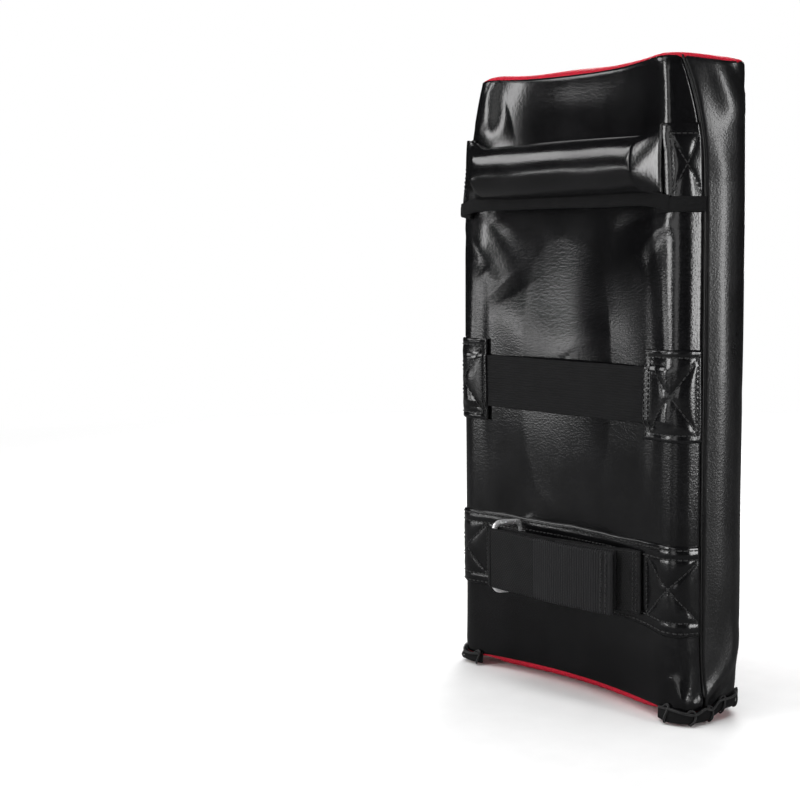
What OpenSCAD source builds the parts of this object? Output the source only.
// Thai pad: a curved strike shield worn on the forearm.
// Frame: +Z up, the pad stands on its bottom cap at Z = 0, the striking face looks to -Y
// and the concave back with the handle, the elastic and the arm strap looks to +Y.
// X = 0 is the middle of the width. Left is +X, as seen by someone facing the back.
// All lengths are in millimetres and all angles in degrees.

/* [Pad] */
// Radius of the concave back
back_radius = 262; // [200:1:400]
// Thickness of the padded body
pad_thickness = 54; // [35:1:80]
// Half of the angle that the pad covers
half_angle = 21; // [14:0.5:30]
// Height from seam to seam
panel_height = 396; // [300:1:450]
// Height of each padded cap
cap_height = 7; // [4:0.5:15]
// Thickness of the outer leather
skin = 2; // [1:0.1:3]
// Rounding of the front corners
front_round = 9; // [4:0.5:14]
// Rounding of the back corners
back_round = 6; // [3:0.5:10]

/* [Handle] */
// Height of the handle tabs' middle
handle_z = 338; // [250:1:370]
// Diameter of the padded grip
grip_diameter = 31; // [25:0.5:45]
// Distance of the grip's middle from the pad's middle plane
grip_y = 50.2; // [48:0.1:75]
// Half of the grip's length
grip_half = 80; // [60:0.5:82]
// Height of the grip's middle
grip_z = 342; // [250:1:370]
// Height of the sewn tabs
tab_height = 52; // [35:1:70]

/* [Elastic] */
// Height of the elastic's middle
elastic_z = 201.5; // [150:0.5:260]
// Width of the elastic
elastic_width = 35; // [20:1:60]
// Height of the two covering patches
patch_height = 56; // [40:1:80]
// Distance of the patches' inner edges from the middle
patch_edge = 70; // [50:1:80]

/* [Arm strap] */
// Height of the strap's middle
strap_z = 84; // [60:0.5:140]
// Width of the webbing
strap_width = 40; // [25:1:50]
// Thickness of the webbing
strap_thick = 2; // [1:0.1:3]
// Height of the base band sewn to the back
band_height = 50; // [45:1:70]
// Wire diameter of the steel ring
ring_wire = 4; // [3:0.1:6]
// Length of the ring, centre to centre
ring_length = 46; // [35:1:60]
// Reach of the ring, centre to centre
ring_reach = 19.6; // [14:0.1:30]
// Lean of the ring at rest, away from straight out
ring_lean = 19.4; // [0:0.1:40]

/* [Target] */
// Outer radius of the printed target
target_radius = 80; // [40:1:90]
// Height of the target's middle
target_z = 200; // [120:1:280]

/* [Hidden] */
$fn = 96;

leather = [0.05, 0.05, 0.06];
cap_red = [0.75, 0.05, 0.1];
webbing = [0.1, 0.1, 0.1];             // also the side seams and the grip's edging
elastic_black = [0.12, 0.12, 0.12];
thread = [0.2, 0.2, 0.2];

front_radius = back_radius + pad_thickness;
curve_y = back_radius + pad_thickness / 2;  // centre of the curve, and its middle radius
lower_seam_z = cap_height;
upper_seam_z = lower_seam_z + panel_height;
gap = 0.05;                            // glue line between touching layers
cover = 1.6;                           // thickness of the sewn tabs, patches and band
thread_thick = 0.5;
degrees_per_mm = 180 / PI / (back_radius + back_round);  // turns an outset into an angle

// The side seams run up the radial side faces
seam_radius = back_radius + 21;
seam_width = 1.8;
seam_inner = seam_radius - seam_width / 2;
seam_outer = seam_radius + seam_width / 2;
wrap_radius = seam_inner - 0.2;        // tabs, patches and band end at the side seam

// ---------- plan shapes, all about the centre of the curve ----------

arc_steps = 18;
corner_steps = 7;

// Unit vector at an angle from -Y towards +X
function ray(angle) = [sin(angle), -cos(angle)];

function corner_arc(centre, radius, start, sweep, first_step) =
  [for (i = [first_step : corner_steps]) let (angle = start + sweep * i / corner_steps)
    centre + radius * [cos(angle), sin(angle)]];

// Points round the left half of the body's plan, grown by outset on every side:
// front arc, front corner, back corner, back arc
function half_outline(outset) =
  let (side = half_angle + outset * degrees_per_mm,
       back = back_radius - outset,
       front = front_radius + outset,
       back_corner = back_round + outset,
       front_corner = front_round + outset,
       // angles from the side face to the corners' centres
       back_turn = asin(back_corner / (back + back_corner)),
       front_turn = asin(front_corner / (front - front_corner)))
  concat(
    [for (i = [0 : arc_steps]) front * ray((side - front_turn) * i / arc_steps)],
    corner_arc((front - front_corner) * ray(side - front_turn), front_corner,
               side - front_turn - 90, front_turn + 90, 1),
    corner_arc((back + back_corner) * ray(side - back_turn), back_corner,
               side, 90 - back_turn, 0),
    [for (i = [1 : arc_steps]) back * ray((side - back_turn) * (1 - i / arc_steps))]);

module outline(outset) {
  half = half_outline(outset);
  polygon(concat(half, [for (i = [len(half) - 2 : -1 : 1]) [-half[i][0], half[i][1]]]));
}

// The skin between two outsets of the outline
module layer(inner, outer) {
  difference() {
    outline(outer);
    outline(inner);
  }
}

module annulus(inner, outer) {
  difference() {
    circle(outer);
    circle(inner);
  }
}

// Keeps what lies beyond x on one side of the middle: side = 1 for left, -1 for right
module side_of(side, x) {
  intersection() {
    children();
    translate([side > 0 ? x : -x - front_radius, -front_radius - 20])
      square([front_radius, 2 * front_radius]);
  }
}

// ---------- placing and extruding ----------

module at_curve() {
  translate([0, curve_y, 0]) children();
}

module slab(z, height) {
  at_curve() translate([0, 0, z]) linear_extrude(height = height) children();
}

// A curved strip about any centre; angles run from +X towards +Y
module arc(centre, inner, outer, from, to, z, height) {
  translate([centre[0], centre[1], 0]) rotate([0, 0, from]) rotate_extrude(angle = to - from)
    translate([inner, z]) square([outer - inner, height]);
}

// A strip about the centre of the curve, reaching half_sweep to each side of the middle
module strip(inner, outer, half_sweep, z, height) {
  arc([0, curve_y], inner, outer, -90 - half_sweep, -90 + half_sweep, z, height);
}

// A wrap that covers the back's edge from x outwards and reaches the side seam
module edge_wrap(side, x, inner, outer, middle_z, height) {
  slab(middle_z - height / 2, height) side_of(side, x) intersection() {
    layer(inner, outer);
    circle(wrap_radius);
  }
}

// Puts a flat piece on the radial side face, at a radius from the curve's centre
module on_side(side, radius, z, lift) {
  angle = half_angle + lift * degrees_per_mm;
  at_curve() rotate([0, 0, side * angle - 90]) translate([radius, 0, z])
    rotate([side * -90, 0, 0]) children();
}

// Puts a flat piece on the concave back
module on_back(angle, z, lift) {
  at_curve() rotate([0, 0, angle - 90]) translate([back_radius - lift, 0, z])
    rotate([0, -90, 0]) rotate([0, 0, 90]) children();
}

// A stitched rectangle with a cross, flat in the X-Y plane
module cross_box(width, height) {
  row = 0.8;
  diagonal = norm([width, height]);
  for (side = [-1, 1]) {
    translate([side * width / 2 - row / 2, -height / 2, 0]) cube([row, height, thread_thick]);
    translate([-width / 2, side * height / 2 - row / 2, 0]) cube([width, row, thread_thick]);
    rotate([0, 0, side * atan2(height, width)])
      translate([-diagonal / 2 + 0.5, -row / 2, 0]) cube([diagonal - 1, row, thread_thick]);
  }
}

// ---------- body ----------

binding_z = 4;
binding_height = 12;
binding_thick = 1.3;
binding_opening = 168;                 // width left open across the back
side_seam_z = binding_z + binding_height + 0.3;
strike_foam_thick = 18;
back_foam_thick = 14;

module front_panel() {
  color([0.06, 0.06, 0.07]) slab(lower_seam_z, panel_height) difference() {
    layer(-skin, 0);
    circle(seam_outer);
  }
}

module back_panel() {
  color(leather) slab(lower_seam_z, panel_height) intersection() {
    layer(-skin, 0);
    circle(seam_inner);
  }
}

module side_seam(side) {
  color(webbing) slab(side_seam_z, upper_seam_z - 0.2 - side_seam_z)
    side_of(side, 60) intersection() {
      layer(-skin, 0.9);
      annulus(seam_inner + gap, seam_outer - gap);
    }
}
module side_seam_left() { side_seam(1); }
module side_seam_right() { side_seam(-1); }

// A padded cap that rises from the seam in a shallow arc of height rise, cut flat at height
module cap(rise, height) {
  half_chord = pad_thickness / 2 + 0.4;
  radius = (half_chord * half_chord + rise * rise) / (2 * rise);
  spare_angle = 2;                     // the sweep and the clip both overrun the plan
  spare = 5;
  intersection() {
    at_curve() rotate([0, 0, -90 - half_angle - spare_angle])
      rotate_extrude(angle = 2 * (half_angle + spare_angle)) intersection() {
        translate([curve_y, rise - radius]) circle(radius);
        translate([back_radius - spare, 0]) square([pad_thickness + 2 * spare, height]);
      }
    slab(-1, height + 2) outline(-0.4);
  }
}

module top_cap() {
  color(cap_red) translate([0, 0, upper_seam_z + gap]) cap(cap_height + 0.2, cap_height - gap);
}

// The lower cap is pressed flat where the pad stands on it
module bottom_cap() {
  color(cap_red) translate([0, 0, lower_seam_z - gap]) mirror([0, 0, 1])
    cap(cap_height + 2.5, cap_height - gap);
}

// Band over the lower seam, round the front and sides and onto the back's edges
module bottom_binding() {
  color([0.08, 0.08, 0.08]) slab(binding_z, binding_height) difference() {
    layer(gap, binding_thick);
    translate([-binding_opening / 2, -back_radius - 8]) square([binding_opening, 40]);
  }
}

// Slanted lengths of heavy thread in front of the binding, about 15 mm apart
module whip_stitching() {
  step_angle = 2.72;
  slant = 14;
  color([0.15, 0.15, 0.15]) for (i = [-7 : 7])
    at_curve() rotate([0, 0, -90 + i * step_angle])
      translate([front_radius + binding_thick + 0.85, 0, binding_z + 1])
        rotate([-slant, 0, 0]) cylinder(d = 1.5, h = 10);
}

module foam(inner, outer) {
  slab(lower_seam_z + 0.1, panel_height - 0.2) intersection() {
    outline(-skin - 0.1);
    annulus(inner + gap, outer - gap);
  }
}
module strike_foam() {
  color([0.2, 0.2, 0.22]) foam(front_radius - strike_foam_thick, front_radius);
}
module core_foam() {
  color([0.9, 0.9, 0.85])
    foam(back_radius + back_foam_thick, front_radius - strike_foam_thick);
}
module back_foam() {
  color([0.6, 0.6, 0.6]) foam(back_radius, back_radius + back_foam_thick);
}

// ---------- printed target ----------

// Two rings, a disc and four ticks
module target_shape() {
  tick_width = 8;
  annulus(target_radius * 0.82, target_radius);
  annulus(target_radius * 0.42, target_radius * 0.56);
  circle(target_radius * 0.2);
  for (angle = [0 : 90 : 270]) rotate(angle)
    translate([target_radius * 0.66, -tick_width / 2]) square([target_radius * 0.1, tick_width]);
}

// Half of the target, split along a slanted line and wrapped onto the striking face
module print_half(turn) {
  reach = 100;                         // clears the target on every side
  intersection() {
    translate([0, 0, target_z]) rotate([90, 0, 0]) linear_extrude(height = 60) intersection() {
      target_shape();
      rotate(turn) translate([0.3, -reach]) square([2 * reach, 2 * reach]);
    }
    strip(front_radius + gap, front_radius + 0.35, 17.5, target_z - reach, 2 * reach);
  }
}
module target_print_white() { color([0.95, 0.95, 0.95]) print_half(40); }
module target_print_red() { color([0.8, 0.05, 0.12]) print_half(220); }

// ---------- handle ----------

taper_length = 20;                     // length of each tapered end
tip_diameter = 14;                     // diameter the tapers come down to
grip_wall = 1.6;
edging_half = grip_half - 6;           // half length of the bound seam
edging_thick = 2.4;
edging_drop = 13;                      // how far the edging hangs under the grip

// Plan of the left sewn end: distance in X from its inner face, Y
handle_end_outline = [
  [0, 42.6], [0, 55.5], [3, 54.4], [7, 51.4], [10.5, 48.6], [12.3, 46.25],
  [9.8, 45.28], [6.8, 44.2], [3.8, 43.1]];

module along_x(x, length, start_diameter, end_diameter) {
  translate([x, grip_y, grip_z]) rotate([0, 90, 0])
    cylinder(h = length, d1 = start_diameter, d2 = end_diameter);
}

module grip(diameter, half, tip) {
  along_x(-half, taper_length, tip, diameter);
  along_x(-half + taper_length, 2 * (half - taper_length), diameter, diameter);
  along_x(half - taper_length, taper_length, diameter, tip);
}

module handle_cover() {
  color(leather) difference() {
    grip(grip_diameter, grip_half, tip_diameter);
    grip(grip_diameter - 2 * grip_wall, grip_half - grip_wall, tip_diameter - 3);
  }
}

// Filling, a little smaller than the hollow in the cover
module handle_core() {
  color([0.3, 0.3, 0.3]) grip(grip_diameter - 3.6, grip_half - 2, tip_diameter - 3.6);
}

// Bound seam that hangs under the grip
module handle_edging() {
  color(webbing) difference() {
    translate([-edging_half, grip_y - edging_thick / 2, grip_z - grip_diameter / 2 - edging_drop])
      cube([2 * edging_half, edging_thick, edging_drop + 1]);
    grip(grip_diameter + 0.2, grip_half + 0.1, tip_diameter + 0.2);
  }
}

module handle_tab(side) {
  color(leather) edge_wrap(side, 85, gap, cover, handle_z, tab_height);
}
module handle_tab_left() { handle_tab(1); }
module handle_tab_right() { handle_tab(-1); }

// The grip's sewn end: thins in plan towards the pad's edge and flares in height
module handle_end(side) {
  x = grip_half + 1.2;
  color(leather) intersection() {
    translate([0, 0, grip_z - 24]) linear_extrude(height = 46) mirror([side > 0 ? 0 : 1, 0])
      polygon([for (point = handle_end_outline) [x + point[0], point[1]]]);
    translate([side * x, grip_y, grip_z]) rotate([0, side * 90, 0])
      cylinder(d1 = tip_diameter + 3, d2 = tip_diameter + 46, h = 14);
  }
}
module handle_end_left() { handle_end(1); }
module handle_end_right() { handle_end(-1); }

module handle_stitching() {
  color(thread) for (side = [-1, 1])
    on_side(side, back_radius + back_round + 7, handle_z, cover + 0.25) cross_box(11, 40);
}

// ---------- elastic ----------

elastic_y = 41;                        // pad side of the taut elastic
elastic_thick = 1.6;
elastic_end_thick = 1.5;               // outset of the ends that lie on the pad

module elastic_band() {
  half = patch_edge - 1;
  color(elastic_black) translate([-half, elastic_y, elastic_z - elastic_width / 2])
    cube([2 * half, elastic_thick, elastic_width]);
}

module elastic_end(side) {
  color(elastic_black)
    edge_wrap(side, patch_edge, gap, elastic_end_thick, elastic_z, elastic_width);
}
module elastic_end_left() { elastic_end(1); }
module elastic_end_right() { elastic_end(-1); }

module elastic_patch(side) {
  color(leather) edge_wrap(side, patch_edge, elastic_end_thick + gap, elastic_end_thick + cover,
                           elastic_z, patch_height);
}
module elastic_patch_left() { elastic_patch(1); }
module elastic_patch_right() { elastic_patch(-1); }

module patch_stitching() {
  color(thread) for (side = [-1, 1])
    on_back(side * 17.4, elastic_z, elastic_end_thick + cover + 0.3) cross_box(14, 44);
}

// ---------- arm band and ring ----------

// Middles of the ring's two long bars, in plan
ring_base = [43.5, 36.2];
ring_free = ring_base + ring_reach * [sin(ring_lean), cos(ring_lean)];
ring_corner = 4.5;                     // bend radius of the wire's centre line
ring_tab_height = 34;

module arm_band() {
  color(leather) slab(strap_z - band_height / 2, band_height) intersection() {
    layer(gap, cover);
    circle(wrap_radius);
  }
}

// Two rows of thread along each edge of the band and a crossed rectangle at each end
module band_stitching() {
  radius = back_radius - cover - 0.1;
  row = 0.6;
  color(thread) {
    for (inset = [2, 4.5], z = [-band_height / 2 + inset, band_height / 2 - inset - row])
      strip(radius - thread_thick, radius, 19.2, strap_z + z, row);
    for (side = [-1, 1]) on_back(side * 17.8, strap_z, cover + 0.3) cross_box(10, 36);
  }
}

// Folded webbing that holds the ring's base bar
module ring_tab() {
  face = back_radius - cover - gap;    // the tab lies on the arm band
  color(webbing) translate([0, 0, strap_z - ring_tab_height / 2]) difference() {
    union() {
      translate([ring_base[0], ring_base[1], 0])
        cylinder(d = ring_wire + 2 * strap_thick, h = ring_tab_height);
      slab(0, ring_tab_height) intersection() {
        annulus(face - strap_thick, face);
        translate([ring_base[0], -front_radius]) square([23, front_radius]);
      }
    }
    translate([ring_base[0], ring_base[1], -1]) cylinder(d = ring_wire + 0.8, h = 40);
    slab(-1, 40) annulus(face, back_radius + 20);
  }
}

// Rectangular ring with rounded corners; in its own plane X is the reach, Y the length
module strap_ring() {
  near = ring_corner;
  far = ring_reach - ring_corner;
  high = ring_length / 2 - ring_corner;
  color([0.8, 0.8, 0.82]) translate([ring_base[0], ring_base[1], strap_z])
    rotate([0, 0, -ring_lean]) rotate([90, 0, 90]) {
      for (y = [-ring_length / 2, ring_length / 2])
        translate([near, y, 0]) rotate([0, 90, 0]) cylinder(d = ring_wire, h = far - near);
      for (x = [0, ring_reach])
        translate([x, -high, 0]) rotate([-90, 0, 0]) cylinder(d = ring_wire, h = 2 * high);
      // bend centre X, Y and the angle where the bend starts
      for (bend = [[far, high, 0], [near, high, 90], [near, -high, 180], [far, -high, -90]])
        translate([bend[0], bend[1], 0]) rotate([0, 0, bend[2]])
          rotate_extrude(angle = 90) translate([ring_corner, 0]) circle(d = ring_wire);
    }
}

// ---------- arm strap: an arc in plan from the anchor to the ring, and a flap over it ----------

fold_inner = ring_wire / 2 + 0.5;      // radii of the turn round the free bar
fold_outer = fold_inner + strap_thick;
fastener_thick = 1.6;

// Points on the inner layer's centre line
strap_anchor = [-66, 39];
strap_middle = [-6, 50.2];
strap_end = [ring_free[0] - 1.2, ring_free[1] - fold_inner - strap_thick / 2];

// Centre of the circle through three points
function circle_centre(start, middle, finish) =
  let (to_middle = middle - start,
       to_finish = finish - start,
       middle_square = to_middle * to_middle,
       finish_square = to_finish * to_finish)
  start + [to_finish[1] * middle_square - to_middle[1] * finish_square,
           to_middle[0] * finish_square - to_finish[0] * middle_square]
          / (2 * cross(to_middle, to_finish));

strap_centre = circle_centre(strap_anchor, strap_middle, strap_end);
strap_radius = norm(strap_middle - strap_centre);
flap_radius = strap_radius + 2 * fold_inner + strap_thick;
strap_outer = strap_radius + strap_thick / 2;
flap_inner = flap_radius - strap_thick / 2;
flap_outer = flap_radius + strap_thick / 2;

function bearing(point) = atan2(point[1] - strap_centre[1], point[0] - strap_centre[0]);

ring_angle = bearing(strap_end);
anchor_angle = bearing(strap_anchor);
flap_angle = bearing([-54, 49]);       // free end of the flap

// An arc about the strap's centre, margin short of both edges of the webbing
module strap_arc(inner, outer, from, to, margin = 0) {
  arc(strap_centre, inner, outer, from, to,
      strap_z - strap_width / 2 + margin, strap_width - 2 * margin);
}

// Two rows of thread across the webbing, just short of its end
module thread_rows(face, end_angle, spacing) {
  color(thread) for (i = [0, 1])
    strap_arc(face + gap, face + thread_thick,
              end_angle - 1.2 - spacing * i, end_angle - 0.8 - spacing * i, margin = 2);
}

// The webbing's turn round the ring's free bar, on the side away from the anchor
module strap_fold() {
  color(webbing) translate([ring_free[0], ring_free[1], strap_z - strap_width / 2])
    linear_extrude(height = strap_width) intersection() {
      annulus(fold_inner, fold_outer);
      translate([-0.2, -10]) square([20, 20]);
    }
}

module strap_inner() {
  color(webbing)
    strap_arc(strap_radius - strap_thick / 2, strap_outer, ring_angle, anchor_angle);
}

module strap_flap() {
  color(webbing) strap_arc(flap_inner, flap_outer, ring_angle, flap_angle);
}

module loop_patch() {
  color([0.15, 0.15, 0.15])
    strap_arc(strap_outer + gap, strap_outer + fastener_thick,
              bearing([-2, 50]), bearing([-48, 42]), margin = 1);
}

module hook_patch() {
  color([0.13, 0.13, 0.13])
    strap_arc(flap_inner - fastener_thick, flap_inner - gap,
              bearing([-5, 57]), bearing([-52, 49]), margin = 1);
}

module anchor_stitching() { thread_rows(strap_outer, anchor_angle, 1.2); }
module flap_stitching() { thread_rows(flap_outer, flap_angle, 1.6); }

front_panel();
back_panel();
side_seam_left();
side_seam_right();
top_cap();
bottom_cap();
bottom_binding();
whip_stitching();
strike_foam();
core_foam();
back_foam();
target_print_white();
target_print_red();
handle_cover();
handle_core();
handle_edging();
handle_end_left();
handle_end_right();
handle_tab_left();
handle_tab_right();
handle_stitching();
elastic_band();
elastic_end_left();
elastic_end_right();
elastic_patch_left();
elastic_patch_right();
patch_stitching();
arm_band();
band_stitching();
ring_tab();
strap_ring();
strap_fold();
strap_inner();
strap_flap();
loop_patch();
hook_patch();
anchor_stitching();
flap_stitching();
